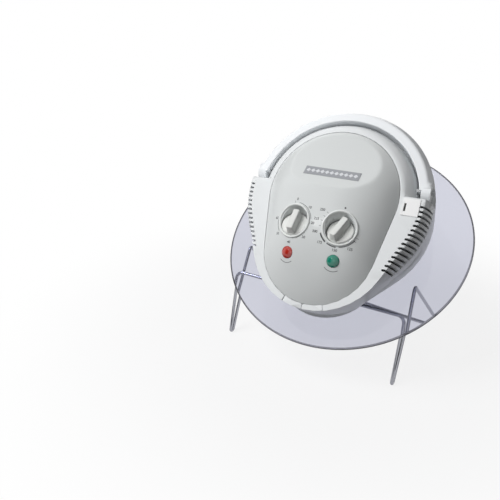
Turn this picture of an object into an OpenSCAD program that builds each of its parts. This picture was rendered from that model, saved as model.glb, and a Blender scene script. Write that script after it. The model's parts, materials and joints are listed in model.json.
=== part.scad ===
// Halogen oven lid unit: a round glass lid with its heating head, standing tilted on a bent wire stand.
// Millimetres, +Z up, origin on the table under the middle of the whole object, controls toward -Y.
// The lid frame has its origin at the middle of the glass top face, with +Z along the glass normal.
// The brim frame is the lid frame raised and tilted forward, parallel to the rim of the control panel.

/* [Glass lid] */
// Diameter of the glass lid
glass_d = 340; // [300:1:360]
// Thickness of the glass
glass_t = 4.5; // [4:0.1:6]
// Radius of the hole in the middle of the glass
glass_hole_r = 64; // [60:1:70]
// Lean of the lid on its stand, from level
lid_tilt = 33.4; // [30:0.1:36]
// Turn of the lid about the glass normal
lid_turn = 2.6; // [0:0.1:4]

/* [Lid stand] */
// Sideways place of the stand under the lid
stand_shift = -9; // [-20:1:0]
// Place of the front feet before the middle of the whole object
front_y = -90.5; // [-93:0.1:-89]
// Width of the stand between wire centres
stand_w = 244.6; // [230:0.1:255]
// Depth of the stand from front feet to rear bar
stand_d = 195; // [180:1:210]
// Diameter of the wire
wire_d = 4.6; // [4:0.1:5.5]
// Distance of the front bar behind the front feet
bar_y = 20.5; // [15:0.5:25]
// Height of the front bar's centre above the table
bar_z = 91; // [85:0.5:97]
// Distance from front bar to the side peaks, along the slope of the glass
peak_run = 43.5; // [38:0.5:50]
// Distance from front bar to the middle of the lid, along the slope of the glass
lid_run = 92; // [91:0.5:95]
// Bend radius of the wire at its corners
corner_bend_r = 9; // [7:0.5:12]
// Bend radius of the wire at the side peaks
peak_bend_r = 4; // [3.5:0.5:6]
// Bend radius of the hairpin at each front foot
foot_bend_r = 3.2; // [3:0.1:4]

/* [Head] */
// Height of the brim frame above the glass
brim_h = 75; // [70:1:80]
// Tilt of the brim frame against the glass
brim_tilt = 20.5; // [18:0.5:23]
// Wall of the plastic housings
wall = 3; // [2.5:0.1:3.5]
// Height of the parting line between the housings, in the brim frame
parting_z = -16; // [-20:1:-14]
// Height of the housing's top rim, in the brim frame
rim_z = 28; // [26:1:30]
// Half width of the head at the brim
head_r = 122; // [121:0.5:125]
// Distance of the brim's wide end centre behind the lid's middle
stern_y = 2; // [0:0.5:5]
// Radius of the head's narrow front end
nose_r = 85; // [80:0.5:88]
// Distance of the narrow end's centre in front of the lid's middle
nose_y = -60; // [-63:0.5:-57]
// How far the top rim stands in from the brim at the sides
rim_in = 7.5; // [5:0.5:9]
// Distance of the rim's wide end centre behind the lid's middle
rim_stern_y = 6; // [4:0.5:8]
// Radius of the top rim's narrow front end
rim_nose_r = 90; // [86:0.5:91]
// Distance of the top rim's narrow end centre in front of the lid's middle
rim_nose_y = -55; // [-58:0.5:-52]
// Distance of the centre of dome and handle behind the lid's middle
dome_y = 5; // [4:0.5:7]
// Half width of the head's foot on the glass
foot_r = 104; // [100:0.5:108]
// Radius of the foot's narrow front end
foot_nose_r = 64; // [60:0.5:68]
// Distance of the foot's wide end centre behind the lid's middle
foot_stern_y = 18; // [14:0.5:20]
// Distance of the foot's narrow end centre in front of the lid's middle
foot_nose_y = -65; // [-68:0.5:-62]

/* [Control panel] */
// Half width of the control panel
panel_r = 84; // [81:0.5:86]
// Distance of the panel's wide end centre behind the lid's middle
panel_stern_y = 4; // [2:0.5:6]
// Radius of the panel's narrow front end
panel_nose_r = 72; // [70:0.5:73]
// Distance of the panel's narrow end centre in front of the lid's middle
panel_nose_y = -66; // [-68:0.5:-64]
// Height of the panel's crown above its edge
panel_crown = 30; // [27:0.5:32]
// Wall of the panel
panel_wall = 2.5; // [2:0.1:3]
// Gap between panel edge and housing rim
panel_gap = 0.6; // [0.4:0.1:1]
// Where the scooped brow of the panel starts
brow_y = 4; // [2:0.5:8]
// Slope of the brow at its start, from where it levels out toward the back
brow_slope = 29; // [25:0.5:31]

/* [Knobs] */
// Distance between the two knobs
knob_pitch = 59; // [57:0.5:64]
// Place of the knobs along the panel
knob_y = -43.5; // [-45:0.5:-42]
// Radius of a knob well
well_r = 17.6; // [17.2:0.1:18]
// Depth of a knob well below the panel's surface, along the knob's axis
well_depth = 12; // [10:0.5:13]
// Wall of a knob well
cup_wall = 2; // [1.5:0.1:2.5]
// Width of the raised lip round a knob well
lip_w = 3; // [2.5:0.1:3.5]
// Height of the lip above the panel
lip_h = 1.8; // [1.5:0.1:2.2]
// Radius of a knob
knob_r = 16.5; // [16:0.1:16.9]
// Thickness of a knob's disc
knob_disc_t = 5; // [4:0.1:6]
// Height of a knob's grip above its disc
grip_h = 11; // [9:0.5:13]
// Diameter of the knob spindles
spindle_d = 6; // [5:0.1:7]

/* [Signal lamps] */
// Distance between the two signal lamps
lens_pitch = 59.5; // [56:0.5:62]
// Place of the signal lamps along the panel
lens_y = -83; // [-85:0.5:-80]
// Radius of a signal lens
lens_r = 7.5; // [6:0.1:8.5]

/* [Handle] */
// Width of the handle band
handle_w = 17; // [15:0.5:17]
// Place of the handle's pivots behind the lid's middle
pivot_y = 30; // [28:0.5:34]
// Height of the handle's pivots in the brim frame
pivot_z = 4; // [3:0.5:5]
// Radius of the handle's eyes
eye_r = 12.5; // [11:0.5:13]
// Diameter of the pivot pins
pin_d = 8; // [6:0.1:10]
// How far the handle reaches above the brim frame
handle_top = 16.5; // [14:0.5:17]
// How far the handle reaches below the brim frame
handle_low = 8; // [6:0.5:8.5]
// Wall of the hollow handle
handle_wall = 3; // [2.5:0.1:3.5]
// Gap between handle and dome
handle_gap = 2.2; // [1.9:0.1:2.6]
// How far the handle's outer face stands in from the brim
handle_step = 0.5; // [0.3:0.1:2]
// Gap between the handle's eyes and the wings in front of them
wing_gap = 3.5; // [2:0.5:5]

/* [Cooling slots] */
// Number of cooling slots on each side
slot_count = 15; // [10:1:15]
// Width of a cooling slot
slot_w = 2.8; // [2:0.1:3.4]
// Distance from slot to slot
slot_pitch = 5.9; // [5.5:0.1:6]
// Depth of a slot from the side face
slot_depth = 5.3; // [4.5:0.1:6]
// Place of the rearmost slot behind the lid's middle
slot_y = 4; // [2:0.5:5]
// How far a slot runs down the side
slot_h = 26; // [18:1:30]

/* [Heater and fans] */
// Radius of the reflector pan at its lower edge
pan_r = 87.5; // [80:0.5:88]
// Depth of the reflector pan
pan_depth = 10; // [8:0.5:12]
// Thickness of the sheet metal
sheet_t = 1.2; // [0.8:0.1:1.5]
// Radius of the lamp ring
lamp_ring_r = 68; // [64:0.5:70]
// Diameter of the lamp's quartz tube
lamp_d = 9; // [8:0.5:10]
// Depth of the guard under the reflector pan
guard_depth = 24; // [22:0.5:28]
// Diameter of the guard wires
guard_wire_d = 2.4; // [2:0.1:3]
// Diameter of the fan shaft
shaft_d = 6; // [5:0.1:8]
// Radius of the hot air fan
hot_fan_r = 52; // [45:0.5:54]
// Radius of the cooling fan
cool_fan_r = 50; // [44:0.5:52]

/* [Clearances] */
// Gap between a turning shaft and its bore, all round
run_gap = 0.05; // [0.02:0.01:0.1]
// Gap between parts that move past each other
move_gap = 0.5; // [0.3:0.05:0.8]
// Gap between lid and stand
rest_gap = 0.3; // [0.2:0.05:0.4]

/* [Hidden] */
$fn = 64;
eps = 0.01;

// Stand places, in the side plane
wire_r = wire_d/2;
side_x = stand_w/2;
slope_dir = [0, cos(lid_tilt), sin(lid_tilt)];
glass_normal = [0, -sin(lid_tilt), cos(lid_tilt)];
bar_point = [0, front_y + bar_y, bar_z];
peak_contact = bar_point + peak_run*slope_dir;
foot_half = foot_bend_r + 0.2;
foot_point = [0, front_y, wire_r];
rear_point = [0, front_y + stand_d, wire_r];
lid_origin = bar_point + lid_run*slope_dir + (wire_r + rest_gap + glass_t)*glass_normal;

// Outlines of the head: [wide radius, its centre, narrow radius, its centre]
foot_egg = [foot_r, foot_stern_y, foot_nose_r, foot_nose_y];
parting_egg = [head_r - 0.5, stern_y, nose_r - 1, nose_y];
brim_egg = [head_r, stern_y, nose_r, nose_y];
rim_egg = [head_r - rim_in, rim_stern_y, rim_nose_r, rim_nose_y];
dome_r = head_r - handle_step - handle_w - handle_gap;
dome_egg = [dome_r, dome_y, nose_r - 8, nose_y];
dome_top_egg = [panel_r + 4, panel_stern_y, panel_nose_r + 2, panel_nose_y];
panel_egg = [panel_r, panel_stern_y, panel_nose_r, panel_nose_y];
foot_lift = 1.2;
channel_z = pivot_z - eye_r - move_gap;
wing_end_y = pivot_y - eye_r - wing_gap;
wide_steps = 36;
narrow_steps = 14;
ring_size = wide_steps + narrow_steps + 2;
bend_steps = 8;
wire_sides = 12;

// Handle section
handle_in = dome_r + handle_gap;
handle_out = handle_in + handle_w;
handle_mid = (handle_in + handle_out)/2;
eye_w = handle_w - 6;
eye_x = handle_in + eye_w/2;
pin_from = dome_r - 7;
pivot_angle = asin((pivot_y - dome_y)/handle_mid);

// Heater stack heights in the lid frame
floor_top = foot_lift + wall;
shield_top = floor_top + sheet_t;
post_h = 22;
plate_low = shield_top + post_h;
plate_top = plate_low + sheet_t;
core_h = 18;
core_top = plate_top + core_h;
bridge_low = core_top + 6;
pan_top = -glass_t;
pan_low = pan_top - pan_depth;
guard_low = pan_low - guard_depth;
lamp_z = pan_low - 7;
neck_r = glass_hole_r - 1;
shield_r = neck_r + 8;
rotor_r = 13.6;
bush_r = shaft_d/2 + 3;

// ---------- frames ----------
module on_lid() { translate(lid_origin) rotate([lid_tilt, 0, 0]) rotate([0, 0, lid_turn]) children(); }
module on_brim() { on_lid() translate([0, 0, brim_h]) rotate([brim_tilt, 0, 0]) children(); }
// On the panel's surface at a point of its front part, square to the surface
module on_panel(p) {
    slope = crown_slope(p);
    translate([p[0], p[1], crown_z(p)]) rotate([atan(slope[1]), -atan(slope[0]), 0]) children();
}
module at_lens(side) { on_panel([side*lens_pitch/2, lens_y]) children(); }
// The knobs' axes are parallel to the glass normal
function knob_place(side) = [side*knob_pitch/2, knob_y];
module at_knob(side) {
    p = knob_place(side);
    translate([p[0], p[1], crown_z(p)]) rotate([-brim_tilt, 0, 0]) children();
}

// ---------- shape helpers ----------
// Egg outline of two circles and their common tangents
function egg_lean(egg) = asin((egg[0] - egg[2])/(egg[1] - egg[3]));
function egg_points(egg, grow = 0) = let(lean = egg_lean(egg)) concat(
    [for (i = [0:wide_steps]) let(a = -lean + (180 + 2*lean)*i/wide_steps)
        [(egg[0] + grow)*cos(a), egg[1] + (egg[0] + grow)*sin(a)]],
    [for (i = [0:narrow_steps]) let(a = 180 + lean + (180 - 2*lean)*i/narrow_steps)
        [(egg[2] + grow)*cos(a), egg[3] + (egg[2] + grow)*sin(a)]]);
function mix(a, b, t) = a*(1 - t) + b*t;
// Half width of an egg at a place between its two centres
function egg_side(egg, y) = let(lean = egg_lean(egg))
    y > egg[1] - egg[0]*sin(lean)
    ? sqrt(egg[0]*egg[0] - (y - egg[1])*(y - egg[1]))
    : (egg[0] + (y - egg[1])*sin(lean))/cos(lean);
// One ring of a loft: the outline at height z on a plane tilted about X at height h
function tilted_ring(points, tilt, h, z) =
    [for (p = points) [p[0], p[1]*cos(tilt) - z*sin(tilt), h + p[1]*sin(tilt) + z*cos(tilt)]];
function flat_ring(egg, z, grow = 0) = tilted_ring(egg_points(egg, grow), 0, 0, z);

// Closed skin through a stack of rings, each with ring_size points
module loft(rings) {
    n = ring_size;
    last = len(rings) - 1;
    polyhedron(
        points = [for (ring = rings) for (p = ring) p],
        faces = concat(
            [[for (j = [0:n - 1]) j]],
            [for (i = [0:last - 1]) for (j = [0:n - 1])
                [i*n + j, (i + 1)*n + j, i*n + (j + 1)%n]],
            [for (i = [0:last - 1]) for (j = [0:n - 1])
                [i*n + (j + 1)%n, (i + 1)*n + j, (i + 1)*n + (j + 1)%n]],
            [[for (j = [n - 1:-1:0]) last*n + j]]));
}

// Straight round bar between two points
module bar(a, b, r) {
    d = b - a;
    translate(a) rotate([0, acos(d[2]/norm(d)), atan2(d[1], d[0])]) cylinder(r = r, h = norm(d));
}

function unit(v) = v/norm(v);
// Centres and headings along a round bend between two straight runs
function bend_line(before, corner, after, bend_r) = let(
    a = unit(before - corner),
    b = unit(after - corner),
    half = acos(a*b)/2,
    inward = unit(a + b),
    across = unit(b - a),
    centre = corner + inward*bend_r/sin(half))
    [for (i = [0:bend_steps]) let(w = (i/bend_steps - 0.5)*(180 - 2*half))
        [centre + bend_r*(across*sin(w) - inward*cos(w)), inward*sin(w) + across*cos(w)]];
// Sideways direction of each ring, carried along the wire without twist
function carried(line, i, a) = let(side = unit(a - (a*line[i][1])*line[i][1]))
    i == len(line) - 1 ? [side] : concat([side], carried(line, i + 1, side));
function wire_ring(place, side, r) = let(up = cross(place[1], side))
    [for (j = [0:wire_sides - 1]) let(w = 360*j/wire_sides)
        place[0] + r*(side*cos(w) + up*sin(w))];
function mirrored(ring) = [for (p = ring) [-p[0], p[1], p[2]]];

// Skin over a closed chain of rings
module ring_chain(rings) {
    n = len(rings[0]);
    m = len(rings);
    polyhedron(
        points = [for (ring = rings) for (p = ring) p],
        faces = concat(
            [for (i = [0:m - 1]) for (j = [0:n - 1]) [i*n + j, ((i + 1)%m)*n + j, i*n + (j + 1)%n]],
            [for (i = [0:m - 1]) for (j = [0:n - 1])
                [i*n + (j + 1)%n, ((i + 1)%m)*n + j, ((i + 1)%m)*n + (j + 1)%n]]));
}

// ---------- stand ----------
to_foot = unit(foot_point - peak_contact);
to_rear = unit(rear_point - peak_contact);
peak_up = -unit(to_foot + to_rear);
peak_half = acos(to_foot*to_rear)/2;
peak_point = peak_contact
    + peak_up*(peak_bend_r/sin(peak_half) - peak_bend_r/(glass_normal*peak_up));
corners = [for (p = [
    bar_point,
    foot_point + [0, -foot_half, 0],
    foot_point + [0, foot_half, 0],
    peak_point,
    rear_point]) p + [side_x, 0, 0]];
corner_bends = [corner_bend_r, foot_bend_r, foot_bend_r, peak_bend_r, corner_bend_r];
path = concat([bar_point], corners, [rear_point]);
half_line = concat(
    [[bar_point, [1, 0, 0]]],
    [for (k = [0:4]) each bend_line(path[k], path[k + 1], path[k + 2], corner_bends[k])],
    [[rear_point, [-1, 0, 0]]]);

module lid_stand() {
    sides = carried(half_line, 0, [0, 0, 1]);
    half = [for (i = [0:len(half_line) - 1]) wire_ring(half_line[i], sides[i], wire_r)];
    color("silver") translate([stand_shift, 0, 0]) ring_chain(concat(
        half,
        [for (i = [len(half) - 2:-1:1]) mirrored(half[i])]));
}

// ---------- glass ----------
module glass_lid() {
    edge_r = glass_t/2;
    color([0.78, 0.79, 0.86, 0.5]) on_lid() difference() {
        union() {
            translate([0, 0, -glass_t]) cylinder(r = glass_d/2 - edge_r, h = glass_t, $fn = 180);
            translate([0, 0, -edge_r]) rotate_extrude($fn = 180)
                translate([glass_d/2 - edge_r, 0]) circle(r = edge_r, $fn = 32);
        }
        translate([0, 0, -glass_t - 1]) cylinder(r = glass_hole_r, h = glass_t + 2);
    }
}

module glass_seal() {
    color("dimgray") on_lid() difference() {
        cylinder(r = glass_hole_r + 14, h = foot_lift);
        translate([0, 0, -1]) cylinder(r = glass_hole_r + 2, h = foot_lift + 2);
    }
}

// ---------- housings ----------
// Side skin between the foot on the glass and the parting line
function hull_egg(t) = t < 0.4
    ? mix(foot_egg, mid_egg, 1 - pow(1 - t/0.4, 2))
    : mix(mid_egg, parting_egg, (t - 0.4)/0.6);
mid_egg = [head_r - 4, mix(foot_stern_y, stern_y, 0.4), foot_nose_r + 2.5, foot_nose_y];
function hull_ring(t, grow) = tilted_ring(
    egg_points(hull_egg(t), grow), brim_tilt*t, mix(foot_lift, brim_h, t), parting_z*t);
lower_levels = [0, 0.06, 0.14, 0.25, 0.4, 0.7, 1];

// Screws that hold the housings together, and their bosses
screw_places = [[70, 40], [-70, 40], [52, -72], [-52, -72]];
screw_r = 1.8;
screw_head_r = 3.2;
screw_head_h = 1.4;
boss_r = 5;
boss_h = 16;
module at_screws() {
    for (place = screw_places)
        translate([place[0], place[1], foot_lift]) children();
}

module lower_housing() {
    inner_rings = concat(
        [tilted_ring(egg_points(hull_egg(0), -wall), 0, floor_top, 0)],
        [for (t = [0.14, 0.25, 0.4, 0.7]) hull_ring(t, -wall)],
        [tilted_ring(egg_points(parting_egg, -wall), brim_tilt, brim_h, parting_z + 0.5)]);
    color([0.80, 0.81, 0.82]) on_lid() {
        difference() {
            union() {
                difference() {
                    loft([for (t = lower_levels) hull_ring(t, 0)]);
                    loft(inner_rings);
                }
                at_screws() translate([0, 0, wall/2]) cylinder(r = boss_r, h = boss_h);
            }
            translate([0, 0, -1]) cylinder(r = neck_r - wall, h = floor_top + 2);
            cord_way() cylinder(r = gland_r, h = 40, center = true);
            at_screws() {
                translate([0, 0, -1]) cylinder(r = screw_r, h = boss_h + 2);
                translate([0, 0, -1]) cylinder(r = screw_head_r + move_gap, h = screw_head_h + 1);
            }
        }
        difference() {
            translate([0, 0, pan_top]) cylinder(r = neck_r, h = floor_top - pan_top - 1);
            translate([0, 0, pan_top - 1]) cylinder(r = neck_r - wall, h = floor_top - pan_top + 2);
        }
    }
}

// Outer height levels of the upper housing: [height, outline]
wing_levels = [
    [parting_z, parting_egg],
    [0, brim_egg],
    [rim_z*0.5, mix(brim_egg, rim_egg, 0.22)],
    [rim_z*0.82, mix(brim_egg, rim_egg, 0.62)],
    [rim_z*0.95, mix(brim_egg, rim_egg, 0.86)],
    [rim_z, mix(brim_egg, rim_egg, 1.05)]];
dome_levels = [
    [parting_z, dome_egg],
    [0, dome_egg],
    [rim_z*0.4, mix(dome_egg, dome_top_egg, 0.14)],
    [rim_z*0.7, mix(dome_egg, dome_top_egg, 0.42)],
    [rim_z*0.9, mix(dome_egg, dome_top_egg, 0.76)],
    [rim_z, dome_top_egg]];

// Solid outer form of the upper housing, or its hollow when taken in by a wall
module upper_form(inset) {
    top_drop = inset;
    difference() {
        loft([for (level = wing_levels) flat_ring(level[1], level[0] - top_drop, -inset)]);
        difference() {
            translate([-head_r - 1, wing_end_y - inset, channel_z - inset])
                cube([2*head_r + 2, 2*head_r, 2*rim_z]);
            loft([for (level = dome_levels)
                flat_ring(level[1], level[0] - top_drop - (level[0] == parting_z ? 1 : 0), -inset)]);
        }
    }
}

// Cooling slots cut across the rim and down the side wall
module slot_row(side) {
    for (i = [0:slot_count - 1]) {
        y = slot_y - i*slot_pitch;
        translate([side*(egg_side(rim_egg, y) - slot_depth + slot_w/2), y, rim_z - slot_h])
            linear_extrude(2*slot_h) {
                circle(d = slot_w, $fn = 8);
                translate([side > 0 ? 0 : -4*slot_depth, -slot_w/2]) square([4*slot_depth, slot_w]);
            }
    }
}

// Small notches in the rim's front
notch_angles = [-18.5, -1, 16.5];
notch_l = 8;
notch_w = 1.2;

module upper_housing() {
    color([0.86, 0.87, 0.88]) on_brim() difference() {
        upper_form(0);
        upper_form(wall);
        translate([0, 0, rim_z - 2*wall]) linear_extrude(4*wall)
            polygon(egg_points(panel_egg, panel_gap));
        for (side = [-1, 1]) {
            slot_row(side);
            translate([side*pin_from, pivot_y, pivot_z])
                rotate([0, 90, 0]) cylinder(d = pin_d, h = 2*handle_w, center = true);
        }
        for (a = notch_angles) translate([0, rim_nose_y, rim_z]) rotate([0, 0, a - 90])
            translate([rim_nose_r - notch_l, -notch_w/2, -notch_w]) cube([2*notch_l, notch_w, 2*notch_w]);
    }
}

// ---------- control panel ----------
// Height of the crown at a share s of the way from the panel's middle to its edge
function crown(s) = rim_z + panel_crown*(1 - pow(s, 3));
// That share, for a point of the front part
function nose_share(p) = let(q = p[1]*panel_nose_y/norm(p))
    norm(p)/(q + sqrt(q*q - panel_nose_y*panel_nose_y + panel_nose_r*panel_nose_r));
function crown_z(p) = crown(nose_share(p));
function crown_slope(p) = [for (e = [[0.5, 0], [0, 0.5]]) crown_z(p + e) - crown_z(p - e)];
crown_steps = [1, 0.97, 0.93, 0.88, 0.81, 0.72, 0.6, 0.45, 0.25, 0.02];

// Scoop of the brow, levelling out at the panel's back edge
brow_back = panel_stern_y + panel_r;
brow_run = brow_back + panel_gap - brow_y;
brow_top = crown(brow_y/brow_back);
brow_steps = 10;
function brow_z(v) = brow_top - tan(brow_slope)*(v - 0.46*v*v/brow_run);
module brow_cut(lift) {
    rotate([90, 0, 90]) linear_extrude(2*head_r, center = true) polygon(concat(
        [for (i = [0:brow_steps]) let(v = brow_run*i/brow_steps) [brow_y + v, brow_z(v) + lift]],
        [[brow_y + brow_run, 3*rim_z], [brow_y, 3*rim_z]]));
}

module panel_form(inset) {
    foot_z = rim_z - wall - (inset > 0 ? 1 : 0);
    difference() {
        loft(concat(
            [flat_ring(panel_egg, foot_z, -inset)],
            [for (s = crown_steps) flat_ring(panel_egg*s, crown(s) - inset, -inset*s)]));
        brow_cut(-inset);
    }
}

lip_in_r = well_r + 1.4;
module control_panel() {
    lip_out_r = lip_in_r + lip_w;
    color([0.83, 0.84, 0.85]) on_brim() difference() {
        union() {
            panel_form(0);
            for (side = [-1, 1]) on_panel(knob_place(side)) rotate_extrude() polygon([
                [lip_in_r, -well_depth/2], [lip_out_r, -well_depth/2], [lip_out_r, lip_h/3],
                [lip_out_r - lip_w/3, lip_h], [lip_in_r + lip_w/3, lip_h], [lip_in_r, lip_h/3]]);
        }
        difference() {
            panel_form(panel_wall);
            for (side = [-1, 1]) at_knob(side) translate([0, 0, -well_depth - cup_wall])
                cylinder(r = well_r + cup_wall, h = 4*well_depth);
        }
        for (side = [-1, 1]) {
            at_knob(side) translate([0, 0, -well_depth]) cylinder(r = well_r, h = 4*well_depth);
            at_knob(side) cylinder(d = spindle_d + 2*move_gap, h = 6*well_depth, center = true);
            at_lens(side) cylinder(r = lens_r + move_gap/2, h = 6*well_depth, center = true);
        }
    }
}

module signal_lens(side) {
    on_brim() at_lens(side) {
        translate([0, 0, -6]) cylinder(r = lens_r, h = 6);
        intersection() {
            translate([0, 0, 3 - lens_r*1.6]) sphere(r = lens_r*1.6);
            translate([0, 0, -eps]) cylinder(r = lens_r, h = lens_r);
        }
    }
}
module power_lens() { color("firebrick") signal_lens(-1); }
module heat_lens() { color("seagreen") signal_lens(1); }

module signal_lamps() {
    color("orange") on_brim() for (side = [-1, 1]) at_lens(side) {
        translate([0, 0, -16]) cylinder(r = 3, h = 9.5);
        translate([0, 0, -20]) cylinder(r = 4.5, h = 4);
    }
}

// ---------- controls ----------
// The timer and the thermostat hang under the wells on a threaded neck
cup_low = -well_depth - cup_wall;
neck_h = 3.5;
unit_neck_r = 6;
body_h = 28;
timer_r = 19.5;
thermostat_box = [26, 34, 12];
body_low = cup_low - neck_h - body_h;
module spindle_way() {
    translate([0, 0, body_low - 1]) cylinder(d = spindle_d + 2*run_gap, h = body_h + neck_h + 2);
}
module timer_unit() {
    color("gold") on_brim() at_knob(-1) difference() {
        union() {
            translate([0, 0, body_low]) cylinder(r = timer_r, h = body_h);
            translate([0, 0, cup_low - neck_h - 1]) cylinder(r = unit_neck_r, h = neck_h + 1);
        }
        spindle_way();
    }
}
bell_h = 8;
bell_r = timer_r - 0.5;
bell_wall = 1.5;
module timer_bell() {
    color("silver") on_brim() at_knob(-1) translate([0, 0, body_low - bell_h]) difference() {
        cylinder(r1 = bell_r - 3, r2 = bell_r, h = bell_h);
        translate([0, 0, 1]) cylinder(r1 = bell_r - 3 - bell_wall, r2 = bell_r - bell_wall, h = bell_h);
    }
}
module thermostat() {
    color("tan") on_brim() at_knob(1) difference() {
        union() {
            translate([0, 0, body_low]) cylinder(r = thermostat_box[0]/2 + 2, h = body_h - thermostat_box[2]);
            translate([-thermostat_box[0]/2, -thermostat_box[1]/2, body_low + body_h - thermostat_box[2]])
                cube(thermostat_box);
            translate([0, 0, cup_low - neck_h - 1]) cylinder(r = unit_neck_r, h = neck_h + 1);
        }
        spindle_way();
    }
}
module timer_spindle() {
    color("gray") on_brim() at_knob(-1) knob_spindle();
}
module temperature_spindle() {
    color("gray") on_brim() at_knob(1) knob_spindle();
}
module knob_spindle() {
    translate([0, 0, body_low + 2]) cylinder(d = spindle_d, h = -body_low - 2 - 4);
}

// Round disc with a tapered bar grip across it
module knob_form() {
    disc_top = -well_depth + move_gap + knob_disc_t;
    difference() {
        union() {
            translate([0, 0, disc_top - knob_disc_t]) cylinder(r = knob_r, h = knob_disc_t - 1.5);
            translate([0, 0, disc_top - 1.5]) cylinder(r1 = knob_r, r2 = knob_r - 1.5, h = 1.5);
            intersection() {
                hull() {
                    for (y = [-1, 1]) {
                        translate([0, y*(knob_r - 5), disc_top - 1])
                            cylinder(r = 4.6, h = 1, $fn = 24);
                        translate([0, y*(knob_r - 6), disc_top + grip_h - 2])
                            cylinder(r1 = 3.4, r2 = 2.4, h = 2, $fn = 24);
                    }
                }
                translate([0, 0, -well_depth]) cylinder(r = knob_r - 0.5, h = 40);
            }
        }
        translate([0, 0, -well_depth - 1]) cylinder(d = spindle_d, h = well_depth - 4 + 1);
    }
}
module timer_knob() { color("whitesmoke") on_brim() at_knob(-1) knob_form(); }
module temperature_knob() { color("whitesmoke") on_brim() at_knob(1) rotate([0, 0, -18]) knob_form(); }

bulb_r = 3;
bulb_h = 30;
module thermostat_bulb() {
    color("darkgoldenrod") on_lid() translate([bulb_r - shield_r + 0.5, 12, shield_top])
        cylinder(r = bulb_r, h = bulb_h);
}

// Row of screw terminals on a base, with a wire hole through each
terminal_x = 26;
terminal_y = 78;
terminal_pitch = 12;
terminal_w = 9;
terminal_h = 13;
terminal_count = 3;
wire_hole_r = 1.8;
wire_hole_z = shield_top + 7;
module at_terminals() {
    for (i = [0:terminal_count - 1])
        translate([terminal_x + (i + 0.5)*terminal_pitch, terminal_y, 0]) children();
}
module terminal_block() {
    color("ivory") on_lid() difference() {
        union() {
            translate([terminal_x, terminal_y - terminal_w/2 - 1, floor_top])
                cube([terminal_count*terminal_pitch, terminal_w + 2, 4]);
            at_terminals() translate([-terminal_w/2, -terminal_w/2, floor_top + 3])
                cube([terminal_w, terminal_w, terminal_h - 3]);
        }
        at_terminals() {
            translate([0, 0, wire_hole_z]) cylinder(r = 2.2, h = terminal_h);
            translate([0, 0, wire_hole_z]) rotate([90, 0, 0])
                cylinder(r = wire_hole_r, h = 2*terminal_w, center = true);
        }
    }
}

// Insulated wires from the cord gland to the terminals
harness_r = 1.2;
module wire_harness() {
    gland_mouth = [0, gland_y - 11, gland_z];
    color("firebrick") on_lid() for (i = [0:terminal_count - 1]) {
        end = [terminal_x + (i + 0.5)*terminal_pitch, terminal_y + terminal_w/2 - 2, wire_hole_z];
        knee = end + [0, 12, 0];
        bar(gland_mouth + [0, 0, 3*harness_r*(i - 1)], knee, harness_r);
        translate(knee) sphere(r = 1.2*harness_r);
        bar(knee, end, harness_r);
    }
}

// ---------- motor and fans ----------
post_r = 58;
shaft_hole_r = 7;
vent_r = 9;
vent_ring_r = 40;
core_w = 60;
core_front = 22;
core_back = 40;
core_window = [32, 12];
core_window_y = 18;
coil_wall = 10.5;
bridge_t = 2;
bush_h = 6;
post_angles = [45, 135, 225, 315];
module heat_shield() {
    color("silver") on_lid() difference() {
        translate([0, 0, floor_top]) cylinder(r = shield_r, h = sheet_t);
        translate([0, 0, floor_top - 1]) cylinder(r = shaft_hole_r, h = sheet_t + 2);
    }
}
module motor_posts() {
    color("goldenrod") on_lid() for (a = post_angles)
        rotate([0, 0, a]) translate([post_r, 0, shield_top]) cylinder(r = 3, h = post_h);
}
module motor_plate() {
    color("lightsteelblue") on_lid() difference() {
        translate([0, 0, plate_low]) cylinder(r = post_r + 6, h = sheet_t);
        translate([0, 0, plate_low - 1]) cylinder(r = bush_r, h = sheet_t + 2);
        for (a = [0:45:315]) rotate([0, 0, a + 22.5])
            translate([vent_ring_r, 0, plate_low - 1]) cylinder(r = vent_r, h = sheet_t + 2);
    }
}
module motor_core() {
    color("dimgray") on_lid() difference() {
        translate([-core_w/2, -core_front, plate_top]) cube([core_w, core_front + core_back, core_h]);
        translate([0, 0, plate_top - 1]) cylinder(r = rotor_r + move_gap, h = core_h + 2);
        translate([-core_window[0]/2, core_window_y, plate_top - 1])
            cube([core_window[0], core_window[1], core_h + 2]);
    }
}
// Winding wrapped round the back limb of the core
module motor_coil() {
    limb_y = core_window_y + core_window[1];
    limb = core_back - limb_y;
    coil_w = core_window[0] - 6;
    color("peru") on_lid() difference() {
        translate([-coil_w/2, limb_y - coil_wall - 1, plate_top + rest_gap])
            cube([coil_w, 2*coil_wall + limb - 4, core_h + coil_wall/2]);
        translate([-coil_w/2 - 1, limb_y - rest_gap, plate_top - 1])
            cube([coil_w + 2, limb + 2*rest_gap, core_h + 1 + rest_gap]);
    }
}
module shaft_bushes() {
    color("darkgoldenrod") on_lid() difference() {
        union() {
            translate([0, 0, plate_low - bush_h/2]) cylinder(r = bush_r, h = bush_h);
            translate([2 - core_w/2, -bush_r + 1, bridge_low]) cube([core_w - 4, 2*bush_r - 2, bridge_t]);
            for (x = [-1, 1]) translate([x*(core_w/2 - 5), 0, core_top])
                cylinder(r = 2.5, h = bridge_low - core_top);
            translate([0, 0, bridge_low - bridge_t]) cylinder(r = bush_r, h = bush_h);
        }
        translate([0, 0, plate_low - bush_h])
            cylinder(d = shaft_d + 2*run_gap, h = bridge_low + 2*bush_h - plate_low);
    }
}
module fan_shaft() {
    color("silver") on_lid() translate([0, 0, guard_low + 8])
        cylinder(d = shaft_d, h = bridge_low + 6 - guard_low - 8);
}
module motor_rotor() {
    color("gray") on_lid() difference() {
        translate([0, 0, plate_top + 2.5]) cylinder(r = rotor_r, h = core_h - 4);
        translate([0, 0, plate_top]) cylinder(d = shaft_d, h = core_h + 2);
    }
}
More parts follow.
